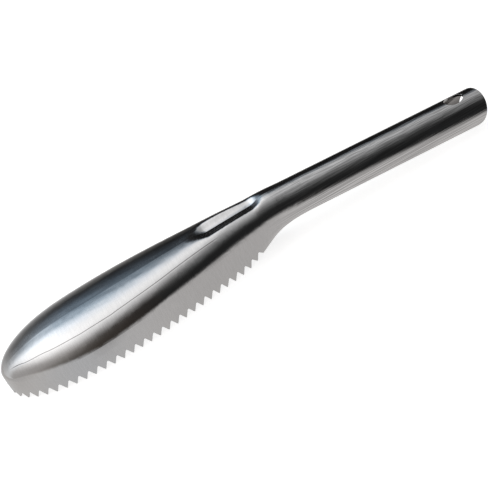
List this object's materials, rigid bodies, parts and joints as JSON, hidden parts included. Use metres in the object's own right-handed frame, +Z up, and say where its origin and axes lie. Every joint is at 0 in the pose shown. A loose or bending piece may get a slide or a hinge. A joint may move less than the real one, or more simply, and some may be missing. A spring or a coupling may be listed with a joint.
{
  "type": "fish scaler",
  "caption": "Pressed sheet-steel fish scaler: a long domed head, open underneath, with a toothed rim, and a rolled tube handle with a hanging hole.",
  "frame": {"origin": "centre of the footprint, on the plane that the teeth and the end of the handle stand on", "axes": "+X runs from the nose of the head to the end of the handle, +Z is up away from the teeth, +Y completes the right-handed set"},
  "size_m": [0.2209, 0.0354, 0.0226],
  "materials": {
    "steel": "polished and lightly brushed stainless steel"
  },
  "bodies": {
    "root": {"scaler": "steel"}
  },
  "joints": []
}
